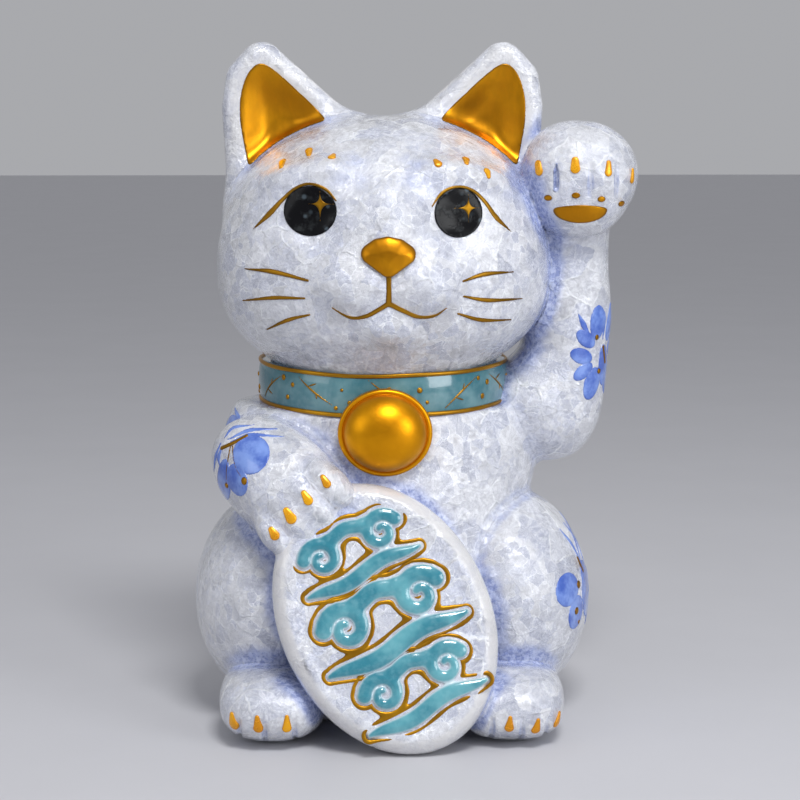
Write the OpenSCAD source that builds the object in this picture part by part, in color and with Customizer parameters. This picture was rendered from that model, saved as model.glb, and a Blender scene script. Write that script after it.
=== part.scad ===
// Beckoning cat: a slip-cast, glazed ceramic figurine with press-moulded trimmings.
// +Z is up, the cat faces -Y, and its own left side, with the raised arm, is +X.
// The origin is on the resting plane, under the middle of the head.

/* [Casting] */
// Thickness of the cast walls
wall = 5; // [3.5:0.5:6]
// Thickness of the floor under the body
floor_t = 6; // [4:0.5:9]
// Radius of the firing vent through the floor
vent_r = 6; // [3:0.5:9]
// How far behind the middle the vent is
vent_y = 20; // [14:1:24]
// How far the body's middle stands to the cat's left of the head's middle
body_x = 2; // [0:0.5:4]
// How far raised enamel stands out of the glaze
proud = 0.7; // [0.4:0.1:1.5]

/* [Head] */
// Height of the joint between body and head, inside the collar
neck_z = 127; // [126:1:130]
// Width of the skull
skull_w = 121; // [112:1:124]
// Depth of the skull
skull_d = 100; // [92:1:106]
// Height of the skull
skull_h = 95; // [90:1:98]
// Height of the skull's middle
skull_z = 175.5; // [172:0.5:178]
// Width of the head across the jowls
jowl_w = 117; // [110:1:120]
// Height of the middle of the jowls
jowl_z = 157; // [154:1:160]

/* [Ears] */
// Height of the ear tips, which is the whole height
ear_top = 250; // [244:1:254]
// Distance from the head's middle to each ear tip
ear_tip_x = 44.5; // [42:0.5:48]
// Distance from the head's middle to each ear's outer corner
ear_out_x = 52.5; // [50:0.5:56]
// Thickness of an ear
ear_t = 12; // [10:1:16]
// Depth of the hollow in the front of an ear
ear_bowl = 3.5; // [2:0.5:5]

/* [Face] */
// Distance from the head's middle to each eye's middle
eye_x = 26.5; // [25:0.5:30]
// Height of the eyes' middle
eye_z = 189.5; // [184:0.5:191]
// Width of an eye
eye_w = 18.5; // [16:0.5:21]
// Height of the nose's middle
nose_z = 174.5; // [170:0.5:176]
// Width of the nose
nose_w = 18; // [14:1:20]

/* [Body] */
// Width of the chest across the shoulders
chest_w = 112; // [104:1:116]
// Height of the chest's middle
chest_z = 96; // [92:1:98]
// Width of the belly
belly_w = 106; // [98:1:110]
// Depth of the belly
belly_d = 104; // [96:1:108]
// Width of a haunch
haunch_w = 62; // [56:1:64]
// Length of a haunch from front to back
haunch_d = 84; // [78:1:88]
// Height of a haunch
haunch_h = 80; // [74:1:82]
// Width of a foot
foot_w = 38.5; // [36:0.5:40]
// Length of a foot
foot_d = 52; // [46:1:54]
// Height of a foot
foot_h = 25; // [23:1:30]

/* [Arms] */
// Radius of the raised paw from side to side
paw_r = 20.5; // [19:0.5:23]
// Height of the raised paw's middle
paw_z = 201.5; // [198:0.5:204]
// Distance from the head's middle to the raised arm's middle
raised_x = 69; // [67:0.5:71]
// Radius of the lowered forearm from side to side
forearm_r = 26; // [23:0.5:27]

/* [Collar and bell] */
// Radius of the neck inside the collar, from side to side
neck_r = 44; // [42:0.5:45]
// Thickness of the collar band
collar_t = 3; // [2:0.5:4]
// Height of the collar band
collar_h = 16; // [14:0.5:17]
// Radius of the edge cords on the collar
cord_r = 1.2; // [0.8:0.1:1.6]
// Width of the bell
bell_w = 34; // [30:1:36]

/* [Coin plaque] */
// Length of the coin plaque
plaque_l = 100; // [94:1:102]
// Width of the coin plaque
plaque_w = 75; // [70:1:78]
// Thickness of the coin plaque
plaque_t = 15; // [12:1:18]
// How far the plaque leans back
plaque_lean = 15; // [11:1:17]
// How far the plaque's top turns to the cat's right
plaque_turn = 25; // [18:1:28]
// Width of the raised scroll bands on the plaque
scroll_w = 9; // [7:0.5:10]

/* [Hidden] */
$fn = 48;
depth_ratio = 0.88;      // the neck and the collar are this much narrower from front to back
skull_y = -3;
jowl_y = -10;
jowl_d = 84;
jowl_h = 70;
muzzle_at = [0, -41, 163];
muzzle_r = [25, 14, 15];
chest_h = 92;
chest_d = 88;
belly_z = 48;
belly_h = 148;
haunch_y = -8;
haunch_x = [46.5, -40.2];  // the cat's left, then its right
haunch_z = 43.5;
foot_x = [44.5, -41.5];
foot_y = -46;
foot_z = 14;
toe_gap = 9.2;
collar_z = neck_z - collar_h + 4;
paw_x = raised_x + 4.5;
paw_y = -10;
paw_d = 42;
paw_h = 39;
heel_at = [raised_x + 2, -9, 190];
heel_r = [16.5, 16, 13];
shoulder_at = [raised_x - 11, 2, 113];
shoulder_r = [20, 19, 21];
elbow_at = [raised_x, 2, 134];
elbow_r = [17, 18, 40];
wrist_r = 13.5;
wrist_z = 140;
wrist_tilt = [6, 1, 0];
lowered_at = [-38, -26, 91.5];
lowered_d = 50;
lowered_h = 42;
lowered_tilt = [0, 30, 0];
lowered_paw_at = [-29, -42, 85];
lowered_paw_r = [21, 19, 17];
lowered_paw_tilt = [0, 34, 0];
tail_root_at = [16, 49, 15];
tail_root_r = [18, 12, 12];
tail_root_tilt = [0, 10, 0];
tail_tip_at = [28, 47, 27];
tail_tip_r = [10, 10, 15];
tail_tip_tilt = [0, 16, 0];
digit_gap = 10.6;
plaque_at = [-1, -61, 46.5];
ear_y = 4;
ear_foot_z = 200;
ear_side_z = 222;
ear_in = [19, 215];
bell_at = [-0.5, -40, 110.5];
bell_d = 14;
brush_gap = 0.6;
bell_rim = 3.5;
bell_ratio = 0.93;
claw_r = [2.1, 1.6, 4.4];
claw_rise = 3;
pad_x = -1.5;
pad_gap = 8.6;
pad_z = -8;
pad_r = [1.8, 1.4, 1.4];
main_pad_z = -13;
main_pad_r = [9, 2.4, 3];
lowered_claws_from = [-41, -56, 77];
lowered_claws_step = [7.6, 0, 4.4];
lowered_claw_r = [2, 3.4, 4];
nose_at = [0.5, -53, nose_z];
nose_d = 8;
nose_h = 13;
scroll_gap = 28;
ear_hollow_at = [42, ear_y - ear_t / 2 - 8, 219];
ear_hollow_r = [18, 8 + ear_bowl, 26];
ear_hollow_tilt = 12;
big = 400;

white_glaze = [0.93, 0.94, 0.97];
teal = [0.38, 0.70, 0.72];
gold = [0.80, 0.56, 0.12];
black = [0.06, 0.06, 0.07];

// How far the front of an ellipsoid of half sizes r stands forward, dx beside and dz above its middle
function front(r, dx, dz) = r[1] * sqrt(1 - pow(dx / r[0], 2) - pow(dz / r[2], 2));

// An ellipsoid with its middle at c and half sizes r, turned by tilt
module blob(c, r, tilt = [0, 0, 0]) {
    translate(c) rotate(tilt) scale(r / r[0]) sphere(r[0]);
}

// A block that fills everything under the height z
module under(z) {
    translate([-big / 2, -big / 2, z - big]) cube(big);
}

// A block that fills everything over the height z
module over(z) {
    translate([-big / 2, -big / 2, z]) cube(big);
}

// A column with the neck's oval section, from the height z up
module neck_column(z, inset, h) {
    scale([1, depth_ratio, 1]) translate([0, 0, z]) cylinder(r = neck_r - inset, h = h);
}

// The outer forms, which each neighbour is cut back from. inset makes the hollow inside a casting.

module torso_form(inset = 0) {
    blob([body_x, 0, chest_z], [chest_w / 2 - inset, chest_d / 2 - inset, chest_h / 2 - inset]);
    blob([body_x, 1, belly_z], [belly_w / 2 - inset, belly_d / 2 - inset, belly_h / 2 - inset]);
    neck_column(chest_z, inset, neck_z - chest_z);
}

module head_form(inset = 0) {
    blob([0, skull_y, skull_z], [skull_w / 2 - inset, skull_d / 2 - inset, skull_h / 2 - inset]);
    blob([0, jowl_y, jowl_z], [jowl_w / 2 - inset, jowl_d / 2 - inset, jowl_h / 2 - inset]);
    neck_column(neck_z - 4, inset, skull_z - neck_z);
}

module haunch_form(side, inset = 0) {
    blob([haunch_x[side], haunch_y, haunch_z],
         [haunch_w / 2 - inset, haunch_d / 2 - inset, haunch_h / 2 - inset]);
}

module foot_form(side) {
    blob([foot_x[side], foot_y, foot_z], [foot_w / 2, foot_d / 2, foot_h / 2]);
}

// The raised arm: upper arm, forearm, wrist, heel of the paw and paw
module raised_form(inset = 0) {
    thin = [inset, inset, inset];
    blob(shoulder_at, shoulder_r - thin);
    blob(elbow_at, elbow_r - thin);
    translate([raised_x, 0, wrist_z]) rotate(wrist_tilt) cylinder(r = wrist_r - inset, h = paw_z - wrist_z);
    blob(heel_at, heel_r - thin);
    blob([paw_x, paw_y, paw_z], [paw_r, paw_d / 2, paw_h / 2] - thin);
}

// The lowered arm: forearm and paw
module lowered_form() {
    blob(lowered_at, [forearm_r, lowered_d / 2, lowered_h / 2], lowered_tilt);
    blob(lowered_paw_at, lowered_paw_r, lowered_paw_tilt);
}

// Moves a shape drawn about the origin, facing +Z, to the plaque's place
module plaque_place() {
    translate(plaque_at) rotate([-plaque_lean, 0, 0]) rotate([0, -plaque_turn, 0]) rotate([90, 0, 0]) children();
}

// A thick oval coin with a round rim
module plaque_form() {
    plaque_place() scale([plaque_w / plaque_l, 1, 1]) rotate_extrude() intersection() {
        union() {
            translate([0, -plaque_t / 2]) square([(plaque_l - plaque_t) / 2, plaque_t]);
            translate([(plaque_l - plaque_t) / 2, 0]) circle(plaque_t / 2);
        }
        translate([0, -plaque_t / 2]) square([plaque_l / 2, plaque_t]);
    }
}

// The bell stands forward from a flat back: a round rim and a dome
module bell_form() {
    translate(bell_at) {
        rotate([90, 0, 0]) scale([1, bell_ratio, 1]) cylinder(r = bell_w / 2, h = bell_rim);
        difference() {
            blob([0, -bell_rim / 2, 0], [bell_w / 2 - 1.5, bell_d, bell_ratio * bell_w / 2 - 1.5]);
            translate([-big / 2, -0.5, -big / 2]) cube(big);
        }
    }
}

module collar_place() {
    translate([0, 0, collar_z]) scale([1, depth_ratio, 1]) children();
}

// Castings

module body_shell() {
    color(white_glaze) difference() {
        torso_form();
        difference() {
            union() {
                torso_form(wall);
                neck_column(chest_z, wall, big);
            }
            under(floor_t);
        }
        translate([body_x, vent_y, -1]) cylinder(r = vent_r, h = floor_t + 2);
        under(0);
        over(neck_z);
        bell_form();
    }
}

module head_shell() {
    color(white_glaze) difference() {
        union() {
            head_form();
            blob(muzzle_at, muzzle_r);
        }
        head_form(wall);
        under(neck_z);
        for (side = [-1, 1]) eye_form(side);
        nose_form();
    }
}

module haunch(side) {
    color(white_glaze) difference() {
        haunch_form(side);
        haunch_form(side, wall);
        torso_form();
        under(0);
        foot_form(side);
    }
}

module foot(side) {
    color(white_glaze) difference() {
        foot_form(side);
        torso_form();
        plaque_form();
        under(0);
        foot_claw_forms(side);
    }
}

module raised_arm() {
    color(white_glaze) difference() {
        raised_form();
        raised_form(wall);
        torso_form();
        head_form();
        raised_claw_forms();
        raised_pad_forms();
    }
}

module lowered_arm() {
    color(white_glaze) difference() {
        lowered_form();
        torso_form();
        plaque_form();
        haunch_form(1);
        lowered_claw_forms();
    }
}

module tail() {
    color(white_glaze) difference() {
        union() {
            blob(tail_root_at, tail_root_r, tail_root_tilt);
            blob(tail_tip_at, tail_tip_r, tail_tip_tilt);
        }
        torso_form();
        haunch_form(0);
        under(0);
    }
}

module coin_plaque() {
    color(white_glaze) difference() {
        plaque_form();
        torso_form();
        under(0);
    }
}

// Ears, pressed separately: a rounded triangle with a hollow front and a gold lining

module ear_blank(side) {
    hull() {
        translate([side * ear_tip_x, ear_y, ear_top - 9]) scale([1.5, 1, 1.5]) sphere(ear_t / 2, $fn = 24);
        translate([side * ear_out_x, ear_y, ear_side_z]) sphere(ear_t / 2, $fn = 24);
        translate([side * ear_out_x, ear_y, ear_foot_z]) sphere(ear_t / 2, $fn = 24);
        translate([side * ear_in[0], ear_y, ear_in[1]]) sphere(ear_t / 2, $fn = 24);
    }
}

module ear_hollow(side, layer) {
    at = ear_hollow_at;
    blob([side * at[0], at[1], at[2]], ear_hollow_r - [0, layer, 0], [0, side * ear_hollow_tilt, 0]);
}

module ear(side) {
    color(white_glaze) difference() {
        ear_blank(side);
        ear_hollow(side, 0);
        head_form();
    }
}

module ear_lining(side) {
    color(gold) difference() {
        intersection() {
            ear_blank(side);
            ear_hollow(side, 0);
        }
        ear_hollow(side, proud);
        head_form();
    }
}

// Collar and bell

module collar_band() {
    color(teal) difference() {
        collar_place() rotate_extrude() translate([neck_r, 0]) square([collar_t, collar_h]);
        bell_form();
    }
}

// A flat-backed cord with bevelled edges, against the face of the band
module cord_form(z) {
    half = [[0, 1], [0.6, 1], [1, 0.4]] * cord_r;
    collar_place() translate([0, 0, z]) rotate_extrude() translate([neck_r + collar_t, 0])
        polygon(concat(half, [for (i = [2 : -1 : 0]) [half[i][0], -half[i][1]]]));
}

// The brushed edge's two ends almost meet behind the neck
module collar_upper_cord() {
    color(gold) difference() {
        cord_form(collar_h - cord_r);
        translate([-brush_gap / 2, 0, collar_z]) cube([brush_gap, big, collar_h + cord_r]);
    }
}

module collar_lower_cord() {
    color(gold) difference() {
        cord_form(cord_r);
        bell_form();
    }
}

module bell() {
    color(gold) bell_form();
}

// Raised scroll bands on the plaque: three curls over a bar with round ends

module scroll(row) {
    reach = row == 1 ? 16.5 : 13.5;
    curl = row == 1 ? 9 : 7.5;
    color(teal) plaque_place() translate([0, (1 - row) * scroll_gap, plaque_t / 2]) linear_extrude(proud * 2) {
        for (i = [-1 : 1]) translate([i * reach, i == 0 ? 4 : 1]) difference() {
            circle(curl);
            circle(curl - scroll_w * 0.5);
        }
        translate([-reach, -curl - scroll_w * 0.4]) square([reach * 2, scroll_w * 0.75]);
        for (i = [-1, 1]) translate([i * reach, -curl - scroll_w * 0.025]) circle(scroll_w * 0.375);
    }
}

// Face and enamel. Each is a lens let halfway into the glaze.

module eye_form(side) {
    z = eye_z - skull_z;
    skull_r = [skull_w, skull_d, skull_h] / 2;
    blob([side * eye_x, skull_y - front(skull_r, eye_x, z), eye_z], [eye_w / 2, 2.4, eye_w / 2], [-17, 0, side * 24]);
}

module nose_form() {
    blob(nose_at, [nose_w, nose_d, nose_h] / 2, [-12, 0, 0]);
}

module raised_claw_forms() {
    for (i = [-1.5 : 1.5]) {
        dx = i * digit_gap;
        y = paw_y - front([paw_r, paw_d / 2, paw_h / 2], dx, claw_rise);
        blob([paw_x + dx, y, paw_z + claw_rise], claw_r);
    }
}

module raised_pad_forms() {
    r = [paw_r, paw_d / 2, paw_h / 2];
    blob([paw_x + pad_x, paw_y - front(r, pad_x, main_pad_z), paw_z + main_pad_z], main_pad_r);
    for (i = [-1.5 : 1.5]) {
        dx = i * pad_gap + pad_x;
        blob([paw_x + dx, paw_y - front(r, dx, pad_z), paw_z + pad_z], pad_r);
    }
}

module lowered_claw_forms() {
    for (i = [0 : 3]) {
        bulge = [0, -8 * sin(35 + i * 40), 0];
        blob(lowered_claws_from + i * lowered_claws_step + bulge, lowered_claw_r, lowered_paw_tilt);
    }
}

// Three claws show on each foot, and the plaque covers the inner toe
module foot_claw_forms(side) {
    out = side == 0 ? 1 : -1;
    for (i = [-0.5 : 1.5]) {
        dx = out * i * toe_gap;
        y = foot_y - front([foot_w / 2, foot_d / 2, foot_h / 2], dx, -1);
        blob([foot_x[side] + dx, y, foot_z - 1], claw_r);
    }
}

body_shell();
head_shell();
ear(1);  // left_ear
ear(-1);  // right_ear
ear_lining(1);  // left_ear_lining
ear_lining(-1);  // right_ear_lining
raised_arm();
lowered_arm();
haunch(0);  // left_haunch
haunch(1);  // right_haunch
foot(0);  // left_foot
foot(1);  // right_foot
tail();
coin_plaque();
scroll(0);  // upper_scroll
scroll(1);  // middle_scroll
scroll(2);  // lower_scroll
collar_band();
collar_upper_cord();
collar_lower_cord();
bell();
color(black) eye_form(1);  // left_eye
color(black) eye_form(-1);  // right_eye
color(gold) nose_form();  // nose
color(gold) raised_claw_forms();  // raised_paw_claws
color(gold) raised_pad_forms();  // raised_paw_pads
color(gold) lowered_claw_forms();  // lowered_paw_claws
color(gold) foot_claw_forms(0);  // left_foot_claws
color(gold) foot_claw_forms(1);  // right_foot_claws
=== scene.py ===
"""Beckoning cat figurine in crystalline-glazed ceramic.

The castings are sculpted as one glazed skin, a smooth union of distance fields, and each piece is
meshed on its own. It dives under its neighbours at the luted joints, where its mesh may end open.
Brushed enamel is cut out of the same fields, so it follows the glaze. Fields are in millimetres,
meshes in metres.
"""

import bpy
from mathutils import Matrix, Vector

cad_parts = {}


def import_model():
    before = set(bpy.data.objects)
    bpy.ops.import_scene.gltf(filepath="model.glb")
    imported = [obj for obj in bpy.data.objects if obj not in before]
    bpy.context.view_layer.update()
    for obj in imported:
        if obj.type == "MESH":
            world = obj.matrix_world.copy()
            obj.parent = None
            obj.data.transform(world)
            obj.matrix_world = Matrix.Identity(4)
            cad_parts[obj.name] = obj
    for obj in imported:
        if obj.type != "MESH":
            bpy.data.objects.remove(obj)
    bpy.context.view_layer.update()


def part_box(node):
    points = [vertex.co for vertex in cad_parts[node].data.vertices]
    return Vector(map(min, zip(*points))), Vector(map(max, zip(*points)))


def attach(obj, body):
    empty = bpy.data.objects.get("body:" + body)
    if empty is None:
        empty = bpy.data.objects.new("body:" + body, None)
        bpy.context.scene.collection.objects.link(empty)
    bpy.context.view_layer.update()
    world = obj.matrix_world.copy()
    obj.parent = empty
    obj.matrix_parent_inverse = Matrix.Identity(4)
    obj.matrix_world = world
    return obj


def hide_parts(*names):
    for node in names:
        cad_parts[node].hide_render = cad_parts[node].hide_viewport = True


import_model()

import math
from concurrent.futures import ThreadPoolExecutor

import bpy
import numpy as np
from mathutils import Vector

MM = 0.001
BODY = "root"
COARSE = 1.0
rng = np.random.default_rng(7)


# ------------ fields


def rotation(tilt):
    """The matrix that turns about X, then Y, then Z, in degrees."""
    a, b, c = (math.radians(v) for v in tilt)
    rx = np.array([[1, 0, 0], [0, math.cos(a), -math.sin(a)], [0, math.sin(a), math.cos(a)]])
    ry = np.array([[math.cos(b), 0, math.sin(b)], [0, 1, 0], [-math.sin(b), 0, math.cos(b)]])
    rz = np.array([[math.cos(c), -math.sin(c), 0], [math.sin(c), math.cos(c), 0], [0, 0, 1]])
    return rz @ ry @ rx


def ellipsoid(centre, radii, tilt=(0, 0, 0)):
    c, r, m = np.array(centre, float), np.array(radii, float), rotation(tilt)

    def field(p):
        q = (p - c) @ m + 1e-5
        k = np.sqrt(((q / r) ** 2).sum(1))
        g = np.sqrt(((q / r**2) ** 2).sum(1))
        return k * (k - 1) / g

    return field


def cone(a, b, ra, rb):
    """A capsule from a to b whose radius runs from ra to rb."""
    a, b = np.array(a, float), np.array(b, float)
    along = b - a
    square = float(along @ along)

    def field(p):
        t = np.clip((p - a) @ along / square, 0, 1)
        return np.linalg.norm(p - a - t[:, None] * along, axis=1) - (ra + (rb - ra) * t)

    return field


def chain(points, radii):
    """A tapering tube along a polyline."""
    links = [cone(points[i], points[i + 1], radii[i], radii[i + 1]) for i in range(len(points) - 1)]
    return lambda p: np.minimum.reduce([part(p) for part in links])


def join(a, b, k):
    """The smooth union of two distances, with a fillet about k wide."""
    h = np.clip(0.5 + 0.5 * (b - a) / k, 0, 1)
    return b + (a - b) * h - k * h * (1 - h)


def meet(a, b, k):
    """The smooth intersection of two distances."""
    return -join(-a, -b, k)


def union(k, *fields):
    def field(p):
        d = fields[0](p)
        for other in fields[1:]:
            d = join(d, other(p), k)
        return d

    return field


def polygon(points, x, z):
    """The signed distance to a closed outline in a plane."""
    d = np.full(len(x), 1e9)
    inside = np.ones(len(x))
    for (ax, az), (bx, bz) in zip(points, points[1:] + points[:1]):
        ex, ez = bx - ax, bz - az
        wx, wz = x - ax, z - az
        t = np.clip((wx * ex + wz * ez) / (ex * ex + ez * ez), 0, 1)
        d = np.minimum(d, (wx - ex * t) ** 2 + (wz - ez * t) ** 2)
        up, down, left = z >= az, z < bz, ex * wz > ez * wx
        inside = np.where((up & down & left) | (~up & ~down & ~left), -inside, inside)
    return inside * np.sqrt(d)


def smooth(low, high, v):
    t = np.clip((v - low) / (high - low), 0, 1)
    return t * t * (3 - 2 * t)


def middle(node):
    low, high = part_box(node)
    return np.array((low + high) / 2) / MM


def half(node):
    low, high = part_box(node)
    return np.array((high - low) / 2) / MM


# ------------ the cat's forms

NECK_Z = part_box("body_shell")[1].z / MM
PLAQUE_AT = (-1, -61, 46.5)
PLAQUE_TURN = rotation((-15, 0, 0)) @ rotation((0, -25, 0)) @ rotation((90, 0, 0))
PLAQUE_HALF = (37.5, 50.0)
PLAQUE_RIM = 7.5
# Half the flat between the plaque's rounded edges, and how far its face is sunk
PLAQUE_FLAT, PLAQUE_SUNK = 0.2, 0.9
EAR_Y = middle("left_ear")[1]
EAR_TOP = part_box("left_ear")[1].z / MM
BODY_X = middle("body_shell")[0]
COLLAR_LOW, COLLAR_HIGH = (corner.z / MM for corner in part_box("collar_band"))
NECK_X, NECK_Y = half("collar_band")[:2] - 3
# How much higher the collar sits at the sides of the neck than in front
SIDE_LIFT = 1.8


def torso():
    chest = ellipsoid((BODY_X, 1, 96), (56, 42, 46))
    belly = ellipsoid((BODY_X, 1, 48), (53, 52, 74))
    neck = cone((0, 0, 90), (0, 0, NECK_Z + 4), 42, 38)
    shoulder = ellipsoid((-36, -4, 101), (24, 26, 24))
    mass = union(11, chest, belly, neck, shoulder)

    def field(p):
        """The torso, waisted where the collar is brushed on."""
        column = (np.hypot(p[:, 0] / NECK_X, p[:, 1] / NECK_Y) - 1) * NECK_Y
        across = p[:, 0] ** 2 / (p[:, 0] ** 2 + p[:, 1] ** 2 + 1)
        return meet(mass(p), join(column, p[:, 2] - COLLAR_LOW - SIDE_LIFT * across, 3), 2)

    return field


def face_forms():
    """The head without its ears: skull, jowls, muzzle, chin, lids and the sunken eye corners."""
    mass = union(
        14,
        ellipsoid((0, -3, 175.5), (60.5, 50, 47.5)),
        ellipsoid((0, -9.5, 159), (58.5, 41.5, 35)),
    )
    neck = cone((0, 0, 122), (0, 0, 150), 36.5, 38)
    puffs = union(
        2.5,
        ellipsoid((-11.5, -46.5, 163.5), (13.8, 11.5, 11), (0, 12, 0)),
        ellipsoid((12.5, -46.5, 163.5), (13.8, 11.5, 11), (0, -12, 0)),
    )
    chin = ellipsoid((1, -45.5, 149.5), (11.5, 9, 7.5))
    bridge = ellipsoid((0.5, -46.5, 181), (9, 7, 15))
    lids = [ellipsoid((s * 28.5, -35.0, 201.5), (16, 6.5, 5.0), (0, s * 12, s * 27)) for s in (-1, 1)]
    sockets = [ellipsoid((s * 25.5, -53, 187.5), (13, 9, 10.5), (0, 0, s * 24)) for s in (-1, 1)]

    def field(p):
        d = join(mass(p), neck(p), 10)
        for socket in sockets:
            d = meet(d, -socket(p), 6)
        d = join(d, bridge(p), 8)
        d = join(d, puffs(p), 5)
        d = join(d, chin(p), 4)
        for lid in lids:
            d = join(d, lid(p), 7)
        return d

    return field


EAR_OUTLINE = [(44.7, EAR_TOP - 8), (50.2, 236), (51.8, 226), (50, 192), (12, 206), (16, 216)]


def ear_plane(side, p):
    """The distance to an ear's front outline, negative inside."""
    return polygon(EAR_OUTLINE, p[:, 0] * side, p[:, 2]) - 8


def ear_bowl(side, p):
    """As ear_plane, but with every corner rounded wide, so that the hollow has no ridges."""
    x, z = p[:, 0] * side, p[:, 2]
    total, softness = np.full(len(x), 1e-9), 3.0
    for (ax, az), (bx, bz) in zip(EAR_OUTLINE, EAR_OUTLINE[1:] + EAR_OUTLINE[:1]):
        ex, ez = bx - ax, bz - az
        out = (ez * (ax - x) - ex * (az - z)) / math.hypot(ex, ez) - 8
        if ex > -30:
            total += np.exp(np.clip(out, -90, 40) / softness)
    return softness * np.log(total)


def ear(side):
    """A rounded triangular plate with thick round edges and a hollow front."""
    thick, rounding, hollow = 8.0, 5.5, 5.5

    def field(p):
        e = ear_plane(side, p)
        y = p[:, 1] - EAR_Y - 1 + 0.05 * (p[:, 2] - 225)
        dish = hollow * smooth(-4.0, -17, ear_bowl(side, p))
        flat = np.maximum(dish - thick - y, y - thick)
        a, b = e + rounding, flat + rounding
        outside = np.sqrt(np.maximum(a, 0) ** 2 + np.maximum(b, 0) ** 2)
        return (np.minimum(np.maximum(a, b), 0) + outside - rounding) * 0.9

    return field


def grooved(mass, paths, radius, k=2.5):
    """A form with soft grooves pressed into it along paths."""
    cuts = [chain(path, [radius * w for w in (0.2, 1, 1, 0.6)]) for path in paths]

    def field(p):
        d = mass(p)
        for cut in cuts:
            d = meet(d, -cut(p), k)
        return d

    return field


def pebble(centre, radii, power):
    """An ellipsoid with fuller sides, as a distance that is close near its surface."""
    c, r = np.array(centre, float), np.array(radii, float)

    def field(p):
        q = np.abs(p - c) / r + 1e-6
        k = (q ** power).sum(1) ** (1 / power)
        slope = np.sqrt(((q / k[:, None]) ** (2 * power - 2) / r ** 2).sum(1))
        return (k - 1) / slope

    return field


def down_the_front(centre, radii, x, heights, power=2.0):
    """Points down the front of a pebble at one x."""
    points = []
    for z in heights:
        left = 1 - abs((x - centre[0]) / radii[0]) ** power - abs((z - centre[2]) / radii[2]) ** power
        points.append((x, centre[1] - radii[1] * max(left, 0.02) ** (1 / power), z))
    return points


def raised_arm():
    c, r = (73.8, -10, 201.2), (20.3, 21, 19.7)
    lines = [down_the_front(c, r, x, (206, 202, 197, 192)) for x in (62.2, 74.0, 84.0)]
    mass = union(3, ellipsoid(c, r), ellipsoid((67, -10, 202.4), (15.6, 18, 18)))
    paw = grooved(mass, lines, 0.9, 1.1)
    heel = ellipsoid((71, -11, 190), (16, 17, 12.5))
    wrist = cone((70, 1, 150), (72, -5, 196), 13.8, 13.2)
    fore = ellipsoid((69, 2, 136), (16.2, 17.5, 40))
    upper = ellipsoid((57, 2, 113), (22, 20, 20.5))
    arm = union(9, wrist, fore, upper)
    return lambda p: join(arm(p), join(heel(p), paw(p), 5), 2.5)


def lowered_arm():
    across = np.array((18.3, -1, 18.5)) / 3
    first = np.array((-40.1, -51, 76.7))
    forearm = ellipsoid((-39, -29, 92), (27, 22, 19.5), (0, 37, 0))
    palm = ellipsoid((-32, -41, 87), (22, 18, 17.5), (10, 40, 0))
    toes = [
        ellipsoid(first + i * across + (1.6, -1.0 - 2.2 * math.sin(math.pi * (i + 0.6) / 4.2), -1.6),
                  (10, 8.2, 6.0), (0, 44, -8))
        for i in range(4)
    ]
    mass = union(9, forearm, palm)
    toes = union(3.2, *toes)
    return lambda p: join(mass(p), toes(p), 5)


def haunch(node):
    low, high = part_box(node)
    x = high.x / MM - 31 if "left" in node else low.x / MM + 31
    return ellipsoid((x, -8, low.z / MM + 40), (31, 42, 40))


def foot(node):
    side = 1 if "left" in node else -1
    c, r = (1.7 + side * 42.9, -45.5, 13.2), (19.5, 26.5, 12.9)
    power = 2.7 if side > 0 else 2.5
    lines = [down_the_front(c, r, c[0] + side * dx, (12, 9, 5, 2), power) for dx in (-8.0, 2.6, 11.6)]
    return grooved(pebble(c, r, power), lines, 0.6, 1.4)


def tail():
    root = ellipsoid((16, 49, 15), (18, 12, 12), (0, 10, 0))
    return union(7, root, ellipsoid((28, 47, 27), (10, 10, 15), (0, 16, 0)))


def plaque_local(p):
    return (p - PLAQUE_AT) @ PLAQUE_TURN


def plaque_oval(q):
    """The distance to the plaque's outline in its own plane, negative inside."""
    k = np.sqrt((q[:, 0] / PLAQUE_HALF[0]) ** 2 + (q[:, 1] / PLAQUE_HALF[1]) ** 2) + 1e-6
    g = np.sqrt((q[:, 0] / PLAQUE_HALF[0] ** 2) ** 2 + (q[:, 1] / PLAQUE_HALF[1] ** 2) ** 2) + 1e-6
    return k * (k - 1) / g


def plaque():
    def field(p):
        q = plaque_local(p)
        e = plaque_oval(q)
        a, b = e + PLAQUE_RIM, np.abs(q[:, 2]) - PLAQUE_FLAT
        d = np.minimum(np.maximum(a, b), 0) + np.sqrt(np.maximum(a, 0) ** 2 + np.maximum(b, 0) ** 2)
        sunk = PLAQUE_SUNK * smooth(-4.0, -9.5, e) * smooth(-2, 2, q[:, 2])
        return d - PLAQUE_RIM + sunk

    return field


FORMS = {
    "body_shell": torso(),
    "left_haunch": haunch("left_haunch"),
    "right_haunch": haunch("right_haunch"),
    "left_foot": foot("left_foot"),
    "right_foot": foot("right_foot"),
    "tail": tail(),
    "lowered_arm": lowered_arm(),
    "coin_plaque": plaque(),
    "raised_arm": raised_arm(),
    "head_shell": face_forms(),
    "left_ear": ear(1),
    "right_ear": ear(-1),
}
# How wide the slip and glaze fillet is where each form joins what is above it in the list
FILLET = {
    "left_haunch": 2.5, "right_haunch": 2.5, "left_foot": 3, "right_foot": 3, "tail": 4,
    "lowered_arm": 3, "coin_plaque": 2, "raised_arm": 4, "head_shell": 3, "left_ear": 9, "right_ear": 9,
}
# How near a form has to be to count, and the distance that stands for a form further off
REACH, FAR = 14.0, 40.0
BOXES = {n: [np.array(c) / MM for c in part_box(n)] for n in FORMS}


def near_forms(p):
    """The distances to the forms that come near these points."""
    low, high = p.min(0) - REACH, p.max(0) + REACH
    near = [n for n, box in BOXES.items() if (box[0] < high).all() and (box[1] > low).all()]
    return {n: FORMS[n](p) for n in near}


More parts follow.
